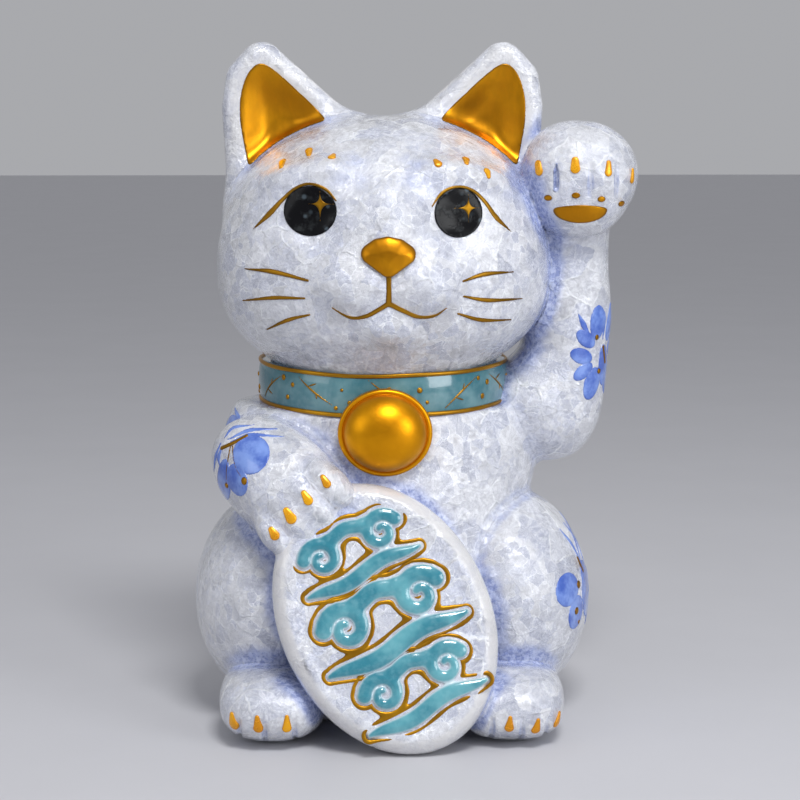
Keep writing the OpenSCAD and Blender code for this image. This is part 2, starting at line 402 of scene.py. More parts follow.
def skin(p, found=None):
    """The glazed outside of the whole cat."""
    found = near_forms(p) if found is None else found
    d = found.get("body_shell", np.full(len(p), FAR))
    head = found.get("head_shell", np.full(len(p), FAR))
    for name in ("left_ear", "right_ear"):
        if name in found:
            head = join(head, found[name], FILLET[name])
    for name, k in FILLET.items():
        if name in found and name not in ("head_shell", "left_ear", "right_ear"):
            d = join(d, found[name], k)
    d = join(d, head, FILLET["head_shell"])
    return meet(d, -p[:, 2], 1.2)


def piece_field(name):
    """The skin where this casting is outermost, sinking under its neighbours elsewhere."""

    def field(p):
        found = near_forms(p)
        own = found.get(name, np.full(len(p), FAR))
        others = [d for n, d in found.items() if n != name] + [np.full(len(p), FAR)]
        return skin(p, found) + 0.7 * np.maximum(own - np.minimum.reduce(others), 0)

    return field


# ------------ meshing


POOL = ThreadPoolExecutor(4)
CUBE = 20.0


def evaluate(field, p):
    """A field at many points, one small cube of space at a time, so that far forms are skipped."""
    cube = np.floor(p / CUBE).astype(int) + 50
    key = (cube[:, 0] * 100 + cube[:, 1]) * 100 + cube[:, 2]
    order = np.argsort(key, kind="stable")
    groups = np.split(order, np.flatnonzero(np.diff(key[order])) + 1)
    out = np.zeros(len(p))

    def work(group):
        if len(group):
            out[group] = field(p[group])

    list(POOL.map(work, groups))
    return out


def sample(field, low, high, step):
    """The field on a grid. Blocks far from the surface are filled from their middles."""
    count = np.maximum(np.ceil((high - low) / step).astype(int), 3)
    block = 4
    blocks = -(-count // block)
    count = blocks * block
    mids = [low[i] + step * (block * np.arange(blocks[i]) + (block - 1) / 2) for i in range(3)]
    grid = np.stack(np.meshgrid(*mids, indexing="ij"), -1).reshape(-1, 3)
    rough = evaluate(field, grid).reshape(blocks)
    values = np.repeat(np.repeat(np.repeat(rough, block, 0), block, 1), block, 2)
    near = np.abs(values) < block * step * 1.3
    index = np.argwhere(near)
    values[near] = evaluate(field, low + step * index)
    return values


def surface_net(values, low, step):
    """A quad mesh of the zero surface: one vertex in each cell that it crosses."""
    inside = values < 0
    cells = tuple(n - 1 for n in values.shape)
    corners = [tuple(slice(o, o + n) for o, n in zip(at, cells)) for at in np.ndindex(2, 2, 2)]
    some = np.logical_or.reduce([inside[c] for c in corners])
    every = np.logical_and.reduce([inside[c] for c in corners])
    used = some & ~every
    cell = np.argwhere(used)
    steps = np.eye(3, dtype=int)
    total, hits = np.zeros((len(cell), 3)), np.zeros(len(cell))
    for axis in range(3):
        u, v = [a for a in range(3) if a != axis]
        for du, dv in np.ndindex(2, 2):
            at = steps[u] * du + steps[v] * dv
            a, b = values[tuple((cell + at).T)], values[tuple((cell + at + steps[axis]).T)]
            cross = (a < 0) != (b < 0)
            t = np.where(cross, a / np.where(cross, a - b, 1), 0)
            total += np.where(cross[:, None], at, 0)
            total[:, axis] += t
            hits += cross
    number = np.full(cells, -1)
    number[used] = np.arange(len(cell))
    verts = low + step * (cell + total / hits[:, None])
    faces = []
    for axis in range(3):
        u, v = (axis + 1) % 3, (axis + 2) % 3
        a = inside[tuple(slice(0, -1) if i == axis else slice(1, -1) for i in range(3))]
        b = inside[tuple(slice(1, None) if i == axis else slice(1, -1) for i in range(3))]
        for flip, cross in ((False, a & ~b), (True, ~a & b)):
            at = np.argwhere(cross)
            at[:, u] += 1
            at[:, v] += 1
            ring = [at - steps[u] - steps[v], at - steps[v], at, at - steps[u]]
            quad = np.stack([number[tuple(r.T)] for r in ring], 1)
            faces.append(quad[:, ::-1] if flip else quad)
    return verts, np.concatenate(faces)


def gradient(field, p, h):
    rises = [evaluate(field, p + h * e) - evaluate(field, p - h * e) for e in np.eye(3)]
    return np.stack(rises, 1) / (2 * h)


def settle(field, verts, step, rounds=1):
    """Moves vertices onto the surface along the field's slope."""
    for _ in range(rounds):
        slope = gradient(field, verts, 0.3 * step)
        push = evaluate(field, verts) / np.maximum((slope**2).sum(1), 0.05)
        verts = verts - np.clip(push, -step, step)[:, None] * slope
    return verts


def meshed(field, low, high, step, rounds=1):
    """A field's surface inside a box, as vertices and faces."""
    low, high = np.array(low, float), np.array(high, float)
    verts, faces = surface_net(sample(field, low, high, step), low, step)
    return settle(field, verts, step, rounds), faces


def link(name, data):
    """A new object in the scene, with this mesh, light or camera."""
    piece = bpy.data.objects.new(name, data)
    bpy.context.scene.collection.objects.link(piece)
    return piece


def add_mesh(name, verts, faces, material):
    mesh = bpy.data.meshes.new(name)
    faces = faces.tolist() if isinstance(faces, np.ndarray) else faces
    mesh.from_pydata((np.asarray(verts) * MM).tolist(), [], faces)
    mesh.validate()
    mesh.materials.append(material)
    mesh.shade_smooth()
    return link(name, mesh)


def set_attribute(piece, name, values):
    layer = piece.data.attributes.new(name, "FLOAT", "POINT")
    layer.data.foreach_set("value", np.asarray(values, np.float32))


def place(piece, nodes=()):
    """Fixes a piece to the body, in place of its CAD nodes."""
    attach(piece, BODY)
    if nodes:
        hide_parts(*nodes)


def glaze_run(piece, node, verts):
    """Where fluid glaze pools in the creases, and where it runs thin over the edges."""
    normal = gradient(skin, verts, 0.5)
    normal /= np.maximum(np.linalg.norm(normal, axis=1), 1e-6)[:, None]
    pool = sum(1 - evaluate(skin, verts + normal * h) / h for h in (2.5, 6.0, 11.0)) / 3
    thin = sum(1 + evaluate(skin, verts - normal * h) / h for h in (3.0, 7.0)) / 2
    if node == "coin_plaque":
        rim = smooth(-8.5, -3.5, plaque_oval(plaque_local(verts)))
        pool, thin = pool + 0.16 * (1 - rim), np.maximum(thin, 0.54 * rim)
    elif node.endswith("_ear"):
        edge = 0.7 * (1 + evaluate(skin, verts - normal * 12) / 12)
        pool, thin = 0.5 * pool, np.maximum(thin, edge)
    set_attribute(piece, "pool", np.clip(pool, 0, 1))
    set_attribute(piece, "thin", np.clip(thin, 0, 1))


def vented(field):
    """A casting's field with the firing vent let into its floor."""
    radius, deep, y = 6, 9, 20

    def cut(p):
        hole = np.maximum(np.hypot(p[:, 0] - BODY_X, p[:, 1] - y) - radius, p[:, 2] - deep)
        return np.maximum(field(p), -hole)

    return cut


def sculpt(node, step):
    """Meshes one casting over its CAD node's box."""
    low, high = (np.array(corner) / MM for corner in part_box(node))
    field = piece_field(node)
    if node == "body_shell":
        field = vented(field)
    margin = 6.0
    verts, faces = meshed(field, low - margin, high + margin, step, 2)
    piece = add_mesh(node + "_glazed", verts, faces, GLAZE)
    glaze_run(piece, node, verts)
    place(piece, [node])


# ------------ materials


class Nodes:
    """A material's nodes, added and linked by name, and the place of each point in its piece."""

    def __init__(self, name):
        self.material = bpy.data.materials.new(name)
        self.material.use_nodes = True
        self.tree = self.material.node_tree
        self.shader = self.tree.nodes["Principled BSDF"]
        self.where = self.add("ShaderNodeTexCoord").outputs["Object"]

    def add(self, kind, inputs=(), **settings):
        node = self.tree.nodes.new(kind)
        for key, value in settings.items():
            setattr(node, key, value)
        for key, value in dict(inputs).items():
            self.put(node.inputs[key], value)
        return node

    def put(self, socket, value):
        if isinstance(value, bpy.types.NodeSocket):
            self.tree.links.new(value, socket)
        else:
            socket.default_value = value

    def shade(self, **values):
        for key, value in values.items():
            self.put(self.shader.inputs[key.replace("_", " ")], value)

    def math(self, operation, a, b):
        return self.add("ShaderNodeMath", {0: a, 1: b}, operation=operation).outputs[0]

    def times(self, a, b):
        return self.math("MULTIPLY", a, b)

    def plus(self, a, b):
        return self.math("ADD", a, b)

    def vector(self, operation, a, b=(0, 0, 0), scale=None):
        node = self.add("ShaderNodeVectorMath", {0: a, 1: b}, operation=operation)
        if scale is not None:
            self.put(node.inputs["Scale"], scale)
        return node.outputs["Value" if operation == "DOT_PRODUCT" else "Vector"]

    def mix(self, factor, a, b, blend="MIX"):
        node = self.add("ShaderNodeMix", data_type="RGBA", blend_type=blend)
        for socket, value in ((node.inputs[0], factor), (node.inputs[6], a), (node.inputs[7], b)):
            self.put(socket, value)
        return node.outputs[2]

    def ramp(self, factor, low, high, to=(0.0, 1.0)):
        node = self.add("ShaderNodeMapRange", {0: factor, 1: low, 2: high, 3: to[0], 4: to[1]},
                        interpolation_type="SMOOTHSTEP")
        return node.outputs[0]

    def noise(self, where, scale, detail=2.0, roughness=0.5, out="Fac"):
        inputs = {"Vector": where, "Scale": scale, "Detail": detail, "Roughness": roughness}
        return self.add("ShaderNodeTexNoise", inputs).outputs[out]

    def cells(self, where, scale, feature="F1"):
        inputs = {"Vector": where, "Scale": scale}
        return self.add("ShaderNodeTexVoronoi", inputs, feature=feature).outputs

    def attribute(self, name):
        return self.add("ShaderNodeAttribute", attribute_name=name).outputs["Fac"]

    def bump(self, height, strength, distance, under=None):
        node = self.add("ShaderNodeBump", {"Height": height, "Strength": strength, "Distance": distance})
        if under is not None:
            self.put(node.inputs["Normal"], under)
        return node.outputs[0]


def rgb(r, g, b):
    return (r, g, b, 1.0)


WHITE = rgb(0.66, 0.67, 0.72)
MILK = rgb(0.66, 0.65, 0.645)
LAVENDER = rgb(0.44, 0.465, 0.58)
FROST = rgb(0.93, 0.95, 0.99)
POOL_BLUE = rgb(0.20, 0.26, 0.56)


def crystals(m, scale, seed):
    """Glaze crystals grown from scattered seeds: each one's tone, its rays, its border and its tilt."""
    shifted = m.vector("ADD", m.where, (seed, seed * 1.7, -seed))
    swirl = m.vector("SUBTRACT", m.noise(shifted, scale * 1.3, 3, out="Color"), (0.5, 0.5, 0.5))
    at = m.vector("ADD", shifted, m.vector("SCALE", swirl, scale=0.55 / scale))
    grown = m.cells(at, scale)
    edge = m.cells(at, scale, "DISTANCE_TO_EDGE")["Distance"]
    arm = m.vector("SUBTRACT", at, grown["Position"])
    spread = m.vector("ADD", m.vector("NORMALIZE", arm), m.vector("SCALE", grown["Color"], scale=9.0))
    rays = m.ramp(m.noise(spread, 5.5, 4, 0.7), 0.36, 0.66)
    lean = m.vector("DOT_PRODUCT", arm, m.vector("SUBTRACT", grown["Color"], (0.5, 0.5, 0.5)))
    tone = m.add("ShaderNodeSeparateColor", {0: grown["Color"]}).outputs[0]
    faint = m.ramp(m.noise(shifted, scale * 0.8, 2), 0.40, 0.58)
    border = m.times(m.ramp(edge, 0.004, 0.055, (1.0, 0.0)), faint)
    return {"tone": tone, "rays": rays, "border": border, "lean": lean}


def crystal_colour(m, layer, ray_share, border_share):
    body = m.mix(m.ramp(layer["tone"], 0.12, 0.85), LAVENDER, WHITE)
    body = m.mix(m.times(layer["rays"], ray_share), body, FROST)
    return m.mix(m.times(layer["border"], border_share), body, FROST)


def white_glaze():
    """White crystalline glaze: blades and fans of crystal, milky over edges and blue where it pools."""
    m = Nodes("crystalline_white_glaze")
    pool, thin = m.attribute("pool"), m.attribute("thin")

    large, small, flake = (crystals(m, *kind) for kind in ((95.0, 0.3), (240.0, 1.1), (560.0, 2.3)))
    patches = m.ramp(m.noise(m.where, 34.0, 2), 0.44, 0.56)
    frosty = m.ramp(m.noise(m.vector("ADD", m.where, (3, 1, 2)), 48.0, 3), 0.50, 0.66)
    body = m.mix(patches, crystal_colour(m, large, 0.55, 0.9), crystal_colour(m, small, 0.5, 0.8))
    body = m.mix(m.times(frosty, 0.7), body, crystal_colour(m, flake, 0.5, 0.7))

    clouds = m.noise(m.where, 150.0, 5, 0.65)
    speckle = m.ramp(m.noise(m.where, 620.0, 3, 0.7), 0.36, 0.62)
    wet = m.plus(m.times(pool, 1.7), m.times(clouds, 0.65))
    pooled = m.ramp(wet, 0.66, 1.20)
    blue = m.mix(speckle, POOL_BLUE, rgb(0.50, 0.57, 0.82))
    tint = m.times(m.ramp(wet, 0.46, 0.9), 0.3)
    bare = m.ramp(m.plus(thin, m.times(clouds, 0.3)), 0.46, 0.78)

    colour = m.mix(m.times(bare, 0.9), body, MILK)
    colour = m.mix(tint, colour, rgb(0.42, 0.50, 0.82))
    colour = m.mix(m.times(pooled, 0.85), colour, blue)
    relief = m.math("SUBTRACT", 1.0, bare)
    facets = m.plus(m.times(large["lean"], 0.30), m.times(small["lean"], 0.38))
    facets = m.plus(facets, m.times(flake["lean"], 0.30))
    ridges = m.plus(m.times(large["border"], 0.00016), m.times(small["rays"], 0.0001))
    height = m.times(m.plus(facets, ridges), relief)
    flow = m.bump(m.noise(m.where, 55.0, 2), 0.3, 0.0010)
    normal = m.bump(height, 1.0, 1.0, flow)
    rough = m.ramp(m.plus(small["rays"], m.times(frosty, 0.6)), 0, 1.4, (0.10, 0.26))
    m.shade(Base_Color=colour, Normal=normal, Roughness=rough)
    m.shade(IOR=1.5, Coat_Weight=1.0, Coat_Roughness=0.035, Coat_IOR=1.65)
    m.put(m.shader.inputs["Coat Normal"], m.bump(height, 0.42, 1.0, flow))
    return m.material


def gold(name, pale, deep):
    """Brushed gold lustre: even and satin where it lies thick, brown where it thins at the edge."""
    m = Nodes(name)
    streaks = m.noise(m.vector("MULTIPLY", m.where, (1.0, 1.0, 0.4)), 420.0, 4, 0.6)
    drift = m.noise(m.where, 60.0, 2)
    colour = m.mix(m.ramp(drift, 0.35, 0.7), deep, pale)
    gaps = m.times(m.ramp(streaks, 0.35, 0.7, (1.0, 0.0)), 0.3)
    colour = m.mix(gaps, colour, rgb(0.38, 0.16, 0.004))
    edge = m.times(m.ramp(m.attribute("rim"), 0.22, 0.9), 0.8)
    colour = m.mix(edge, colour, rgb(0.17, 0.085, 0.008))
    m.shade(Base_Color=colour, Roughness=m.ramp(streaks, 0, 1, (0.28, 0.42)))
    m.shade(Metallic=0.9, Normal=m.bump(streaks, 0.10, 0.0002))
    return m.material


def teal(name, deep, mid, thin):
    """Thick teal enamel, paler where it runs thin at its border, and darkened by painted shade along the
    collar's edges.
    """
    m = Nodes(name)
    drift = m.noise(m.where, 75.0, 3, 0.55)
    fine = m.noise(m.where, 420.0, 3)
    rim = m.attribute("rim")
    colour = m.mix(m.ramp(drift, 0.36, 0.66), deep, mid)
    colour = m.mix(m.times(m.ramp(fine, 0.4, 0.8), 0.25), colour, thin)
    # Painted shade: darker teal where the shade attribute is high, along the collar's upper and lower edges
    colour = m.mix(m.times(m.attribute("shade"), 0.8), colour, rgb(0.02, 0.15, 0.19))
    colour = m.mix(m.ramp(rim, 0.25, 0.95), colour, rgb(0.60, 0.72, 0.78))
    m.shade(Base_Color=colour, Roughness=0.16, Normal=m.bump(drift, 0.2, 0.0004))
    m.shade(IOR=1.5, Coat_Weight=0.7, Coat_Roughness=0.04)
    return m.material


def black():
    """Black enamel with grey bubbles and clouds in it."""
    m = Nodes("mottled_black_enamel")
    bubble = m.cells(m.where, 330.0)
    size = m.add("ShaderNodeSeparateColor", {0: bubble["Color"]}).outputs[1]
    spots = m.times(m.ramp(bubble["Distance"], 0.16, 0.40, (1.0, 0.0)), m.ramp(size, 0.62, 1.0))
    haze = m.ramp(m.noise(m.where, 260.0, 4, 0.6), 0.5, 0.72)
    colour = m.mix(m.times(haze, 0.6), rgb(0.002, 0.002, 0.003), rgb(0.03, 0.034, 0.036))
    colour = m.mix(m.times(spots, 0.5), colour, rgb(0.12, 0.16, 0.19))
    m.shade(Base_Color=colour, Roughness=0.25, Normal=m.bump(haze, 0.2, 0.0004))
    m.shade(IOR=1.25, Coat_Weight=0.05, Coat_Roughness=0.08)
    return m.material


def blue():
    """Translucent blue enamel, darker where the loaded brush was lifted."""
    m = Nodes("blue_enamel")
    wash = m.noise(m.where, 110.0, 4, 0.6)
    rim = m.attribute("rim")
    colour = m.mix(m.ramp(wash, 0.34, 0.64), rgb(0.045, 0.11, 0.47), rgb(0.20, 0.32, 0.72))
    colour = m.mix(m.times(rim, 0.45), colour, rgb(0.05, 0.10, 0.40))
    m.shade(Base_Color=colour, Roughness=0.14, Normal=m.bump(wash, 0.15, 0.0003))
    m.shade(IOR=1.5, Coat_Weight=0.6, Coat_Roughness=0.04)
    return m.material


def amber():
    """The bright yellow gold of the small dots and claws, laid on as one thick drop."""
    m = Nodes("bright_gold_drops")
    drift = m.noise(m.where, 60.0, 2)
    fine = m.noise(m.where, 500.0, 3, 0.6)
    colour = m.mix(m.ramp(drift, 0.38, 0.66), rgb(0.68, 0.27, 0.003), rgb(0.88, 0.42, 0.006))
    edge = m.times(m.ramp(m.attribute("rim"), 0.5, 1.0), 0.45)
    colour = m.mix(edge, colour, rgb(0.45, 0.19, 0.004))
    m.shade(Base_Color=colour, Roughness=m.ramp(fine, 0, 1, (0.2, 0.32)), Metallic=0.35)
    m.shade(Normal=m.bump(fine, 0.08, 0.0002))
    return m.material


def gold_dome():
    """The bell's broader, more even gold."""
    m = Nodes("bell_gold_lustre")
    drift = m.noise(m.where, 60.0, 3)
    fine = m.noise(m.where, 900.0, 3, 0.6)
    colour = m.mix(m.ramp(drift, 0.35, 0.7), rgb(0.64, 0.26, 0.004), rgb(0.78, 0.34, 0.006))
    m.shade(Base_Color=colour, Metallic=0.95, Roughness=m.ramp(fine, 0.3, 0.7, (0.34, 0.42)))
    m.shade(Normal=m.bump(fine, 0.08, 0.0002))
    return m.material


GLAZE, BLACK, BLUE, AMBER, GOLD_DOME = white_glaze(), black(), blue(), amber(), gold_dome()
GOLD = gold("brushed_gold_lustre", rgb(0.66, 0.285, 0.005), rgb(0.51, 0.205, 0.004))
GILT = gold("thin_gilt_line", rgb(0.55, 0.27, 0.012), rgb(0.34, 0.165, 0.010))
TEAL = teal("teal_enamel", rgb(0.022, 0.20, 0.27), rgb(0.11, 0.36, 0.42), rgb(0.25, 0.50, 0.55))
BAND = teal("collar_enamel", rgb(0.035, 0.15, 0.19), rgb(0.13, 0.27, 0.30), rgb(0.24, 0.36, 0.38))


# ------------ castings

STEPS = {
    "body_shell": 1.15, "head_shell": 1.0, "raised_arm": 0.85, "lowered_arm": 0.8,
    "left_haunch": 1.1, "right_haunch": 1.1, "left_foot": 0.75, "right_foot": 0.75, "tail": 1.0,
    "coin_plaque": 0.8, "left_ear": 0.85, "right_ear": 0.85,
}
for node, step in STEPS.items():
    sculpt(node, step * COARSE)


# ------------ brushed enamel


# The directions that decoration is cast along, from the front and from each side
FRONT, FROM_RIGHT, FROM_LEFT = (0, 1, 0), (1, 0, 0), (-1, 0, 0)


def cast_on(points, along=FRONT):
    """Drops points on the glaze, from outside and along a direction.

    A point may be a pair: (x, z) as seen from the front, or (y, z) as seen from a side.
    """
    full = [q if len(q) == 3 else (q[0], 0, q[1]) if along == FRONT else (0, *q) for q in points]
    along, start = np.array(along, float), 150.0
    p = np.array(full, float) - start * along
    for _ in range(90):
        p = p + np.clip(skin(p), -3, 8)[:, None] * 0.8 * along
    return p


def curve_through(points, count):
    """Points on a Catmull-Rom curve, spaced evenly by number."""
    p = np.array(points, float)
    p = np.vstack([2 * p[0] - p[1], p, 2 * p[-1] - p[-2]])
    out = []
    for t in np.linspace(0, len(p) - 3 - 1e-6, count):
        i, f = int(t), t - int(t)
        a, b, c, d = p[i:i + 4]
        bend, twist = 2 * a - 5 * b + 4 * c - d, 3 * b - 3 * c + d - a
        out.append(0.5 * (2 * b + (c - a) * f + bend * f**2 + twist * f**3))
    return np.array(out)


def enamel(outline, box, proud, step=0.4, bulge=0.0, soft=2.5, under=skin):
    """A patch of enamel on the glaze inside an outline: vertices, faces and nearness to its rim."""
    rounding, deep, rim_width = 0.3, 0.7, 0.55

    def field(p):
        e, d = outline(p), under(p)
        rise = proud + bulge * np.sqrt(np.clip(-e / soft, 0, 1))
        return np.maximum(meet(e, d - rise, rounding), -d - deep)

    verts, faces = meshed(field, *box, step)
    return verts, faces, np.exp(np.minimum(outline(verts), 0) / rim_width)


def gather(name, patches, material, nodes=()):
    """Joins patches of enamel into one named piece."""
    verts, faces, rims, count = [], [], [], 0
    for v, f, rim in patches:
        verts.append(v)
        faces.append(f + count)
        rims.append(rim)
        count += len(v)
    piece = add_mesh(name, np.concatenate(verts), np.concatenate(faces), material)
    set_attribute(piece, "rim", np.concatenate(rims))
    place(piece, nodes)


def stroke(points, widths, proud=0.3, along=FRONT, count=16):
    """A brush stroke on the glaze, through points and with widths spread evenly along it."""
    path = cast_on(curve_through(points, count), along)
    w = np.interp(np.linspace(0, 1, count), np.linspace(0, 1, len(widths)), widths)
    margin = max(widths) + 1.5
    return enamel(chain(path, w), (path.min(0) - margin, path.max(0) + margin), proud)


def drop(x, z, tall, wide, tilt, tip=0.3):
    """A teardrop of enamel about (x, z): a blunt tip above a round belly, leaning by tilt degrees."""
    up = np.array((math.sin(math.radians(tilt)), math.cos(math.radians(tilt))))
    tip, belly = tip * wide, 0.5 * wide
    at = np.array((x, z))
    path = cast_on([at + up * (tall / 2 - tip), at - up * (tall / 2 - belly)])
    box = (path.min(0) - wide - 1, path.max(0) + wide + 1)
    return enamel(cone(*path, tip, belly), box, 0.42, 0.28, 0.35, wide / 2)


# Each row of claws: its piece and its CAD node, and each claw's x, z, length, width, tilt and tip
CLAWS = {
    ("raised_claw_strokes", "raised_paw_claws"): [
        (56.0, 204.1, 5.8, 3.6, -8, 0.42), (68.5, 205.3, 6.1, 3.6, 0, 0.38),
        (80.6, 204.1, 5.9, 2.9, 3, 0.32), (90.2, 201.2, 5.7, 2.4, 4, 0.32)],
    ("lowered_claw_strokes", "lowered_paw_claws"): [
        (-22.0, 96.0, 5.2, 3.1, -32), (-28.6, 90.3, 5.7, 3.5, -32),
        (-34.7, 83.9, 6.4, 4.0, -32), (-40.3, 77.3, 5.2, 3.6, -32)],
    ("left_foot_claw_strokes", "left_foot_claws"): [
        (42.6, 10.4, 6.2, 3.4, 5, 0.22), (52.3, 9.2, 6.2, 3.4, 12, 0.22),
        (60.3, 9.8, 6.2, 3.8, 16, 0.22)],
    ("right_foot_claw_strokes", "right_foot_claws"): [
        (-55.0, 11.0, 6.7, 4.6, -10, 0.22), (-46.1, 11.2, 6.7, 3.7, -5, 0.22),
        (-35.9, 11.2, 6.7, 3.5, 0, 0.22)],
}


def claws():
    for (name, node), row in CLAWS.items():
        gather(name, [drop(*claw) for claw in row], AMBER, [node])


def pads():
    def main(p):
        """The palm's pad: straight above and round below."""
        lens = (np.hypot((p[:, 0] - 71.0) / 9.8, (p[:, 2] - 189.0) / 4.8) - 1) * 4.8
        return meet(lens, p[:, 2] - 190.9 + 0.012 * (p[:, 0] - 71) ** 2, 0.8)

    patches = [enamel(main, ((59, -34, 182), (83, -14, 193)), 0.3, 0.4, 0.25)]
    for x, z in ((59.3, 193.3), (68.9, 194.4), (78.3, 193.0), (86.4, 191.1)):
        c = cast_on([(x, z)])[0]
        patches.append(enamel(ellipsoid(c, (1.55, 2.4, 1.1)), (c - 3.2, c + 3.2), 0.3, 0.28, 0.2, 1.2))
    gather("paw_pad_strokes", patches, GOLD, ["raised_paw_pads"])


# Each eye's x, z and half its width and height
EYES = {"right_eye": (-26.9, 189.7, 9.4, 8.8), "left_eye": (25.6, 189.0, 8.7, 8.7)}
EYE_PROUD, EYE_BULGE, EYE_SOFT = 0.35, 0.5, 9.0


def eyes():
    for node, (x, z, rx, rz) in EYES.items():
        box = ((x - 12, -60, z - 12), (x + 12, -30, z + 12))
        patch = enamel(eye_outline(x, z, rx, rz), box, EYE_PROUD, 0.45, EYE_BULGE, EYE_SOFT)
        gather(node + "_enamel", [patch], BLACK, [node])


def eye_outline(x, z, rx, rz):
    return lambda p: (np.hypot((p[:, 0] - x) / rx, (p[:, 2] - z) / rz) + 1e-6 - 1) * min(rx, rz)


def eye_dome(x, z, rx, rz):
    """The outside of an eye's enamel, over the glaze."""
    outline = eye_outline(x, z, rx, rz)

    def field(p):
        return skin(p) - EYE_PROUD - EYE_BULGE * np.sqrt(np.clip(-outline(p) / EYE_SOFT, 0, 1))

    return field


def sparkles():
    """A four-pointed star with hollow sides on each eye."""
    patches, hollow = [], 0.44
    for node, x, z, arms in (("right_eye", -23.4, 192.2, (4.4, 5.2, 6.4, 4.8)),
                             ("left_eye", 29.2, 190.6, (5.4, 4.2, 5.4, 5.2))):
        def star(p, x=x, z=z, arms=arms):
            dx, dz = p[:, 0] - x, p[:, 2] - z
            u = np.abs(dx) / np.where(dx < 0, arms[0], arms[1])
            v = np.abs(dz) / np.where(dz < 0, arms[2], arms[3])
            return ((u**hollow + v**hollow + 1e-6) ** (1 / hollow) - 1) * 0.8

        box = ((x - 6.5, -60, z - 7.5), (x + 6.5, -34, z + 6.5))
        patches.append(enamel(star, box, 0.22, 0.25, under=eye_dome(*EYES[node])))
    gather("eye_sparkles", patches, GILT)


def face_lines():
    right_lid = stroke([(-17.7, 193.4), (-21.4, 197.3), (-26.9, 199.2), (-31.9, 197.6), (-36.6, 193.5),
                        (-41.2, 188.6), (-47.5, 182.6)], (0.3, 0.6, 0.55, 0.6, 0.8, 1.35, 0.2), count=26)
    left_lid = stroke([(15.9, 191.2), (19.9, 196.2), (25.4, 198.1), (30.6, 196.8), (35.2, 192.7),
                       (39.4, 187.0), (45, 181.8)], (0.3, 0.6, 0.55, 0.6, 0.8, 1.15, 0.2), count=26)
    gather("eyelid_lines", [right_lid, left_lid], GILT)
    brow = [drop(x, z, tall, 3.0, t) for x, z, tall, t in
            ((-36.9, 205.9, 4.2, 190), (-27.3, 210.0, 4.0, 180), (-19.0, 208.5, 3.4, 40),
             (18.1, 206.5, 3.8, -40), (28.6, 207.2, 3.8, 180), (36.3, 202.7, 4.2, 165))]
    gather("brow_marks", brow, AMBER)
    whisker = [
        stroke([(-50.4, 168.6), (-40, 168.2), (-27.8, 165.6)], (0.25, 0.95, 0.5)),
        stroke([(-51.4, 157.0), (-40, 158.9), (-29, 159.2)], (0.3, 0.8, 0.4)),
        stroke([(-42.8, 146.8), (-35, 151.0), (-27.3, 153.3)], (0.3, 0.8, 0.4)),
        stroke([(26.8, 165.2), (35, 167.4), (45.6, 167.6)], (0.4, 0.9, 0.25)),
        stroke([(27.2, 159.8), (36, 158.0), (49.2, 157.6)], (0.4, 0.85, 0.3)),
        stroke([(25.2, 153.6), (34, 150.8), (45.2, 150.0)], (0.4, 0.85, 0.3)),
    ]
    gather("whisker_strokes", whisker, GILT)
    mouth = [
        stroke([(0.5, 168.5), (0.6, 163), (0.5, 157.6)], (1.0, 0.9, 1.1), count=8),
        stroke([(0.5, 157.8), (-2.8, 155.8), (-7.8, 153.2), (-13.2, 152.8), (-19.2, 156.2)],
               (1.0, 0.9, 0.8, 0.7, 0.3)),
        stroke([(0.5, 157.8), (5.4, 155.4), (11.0, 153.0), (16.6, 153.2), (21.0, 156.0)],
               (1.0, 0.9, 0.8, 0.7, 0.3)),
    ]
    gather("mouth_line", mouth, GILT)


def nose():
    def outline(p):
        corners = [(-5.7, 175.3), (-3.1, 177.2), (0.3, 177.9), (3.8, 177.1), (6.6, 175.1), (0.5, 170.6)]
        return polygon(corners, p[:, 0], p[:, 2]) - 3.5

    patch = enamel(outline, ((-14, -66, 160), (15, -40, 188)), 0.6, 0.45, 2.2, 5.0)
    gather("nose_enamel", [patch], GOLD, ["nose"])


def ear_linings():
    for side, node in ((1, "left_ear_lining"), (-1, "right_ear_lining")):
        def outline(p, side=side):
            x, z = p[:, 0], p[:, 2]
            scalp = (1 - np.hypot(x / 61.5, (z - 175.5) / 48.5)) * 52
            cheek = side * x - 53.6 - 0.19 * (z - 223)
            return meet(meet(ear_bowl(side, p - (1.2 * side, 0, 0)) + 5.6, cheek, 2.0), scalp, 2.0)

        left, right = sorted((side * 14, side * 58))
        patch = enamel(outline, ((left, EAR_Y - 16, 194), (right, EAR_Y + 2, EAR_TOP)), 0.25, 0.5)
        gather(node + "_gold", [patch], GOLD, [node])


def petal(at, radii, turn=0, along=FRONT):
    """A rounded petal, laid on the glaze from the direction it is seen from."""
    c = cast_on([at], along)[0]
    deep = 11
    wide = (radii[0], deep, radii[1]) if along == FRONT else (deep, *radii)
    tilt = (0, turn, 0) if along == FRONT else (turn, 0, 0)
    reach = max(radii) + 2
    return enamel(ellipsoid(c, wide, tilt), (c - reach, c + reach), 0.16, 0.5)


def dot(at, r):
    c = cast_on([at])[0]
    return enamel(ellipsoid(c, (r, 1.6 * r, 1.2 * r)), (c - 2 * r - 1, c + 2 * r + 1), 0.35, 0.28, 0.2, r)


def blossom(name, petals, sweeps, bars, dots):
    """One flower: blue petals and loose strokes, with gold stamens over them."""
    patches = [petal(*p) for p in petals]
    patches += [stroke(points, (0.35, 1.25, 0.25), 0.14, *along) for points, *along in sweeps]
    gather(name + "_flower", patches, BLUE)
    gilt = [stroke(points, widths, 0.32, count=8) for points, widths in bars]
    gather(name + "_stamens", gilt + [dot(at, r) for at, r in dots], GILT)


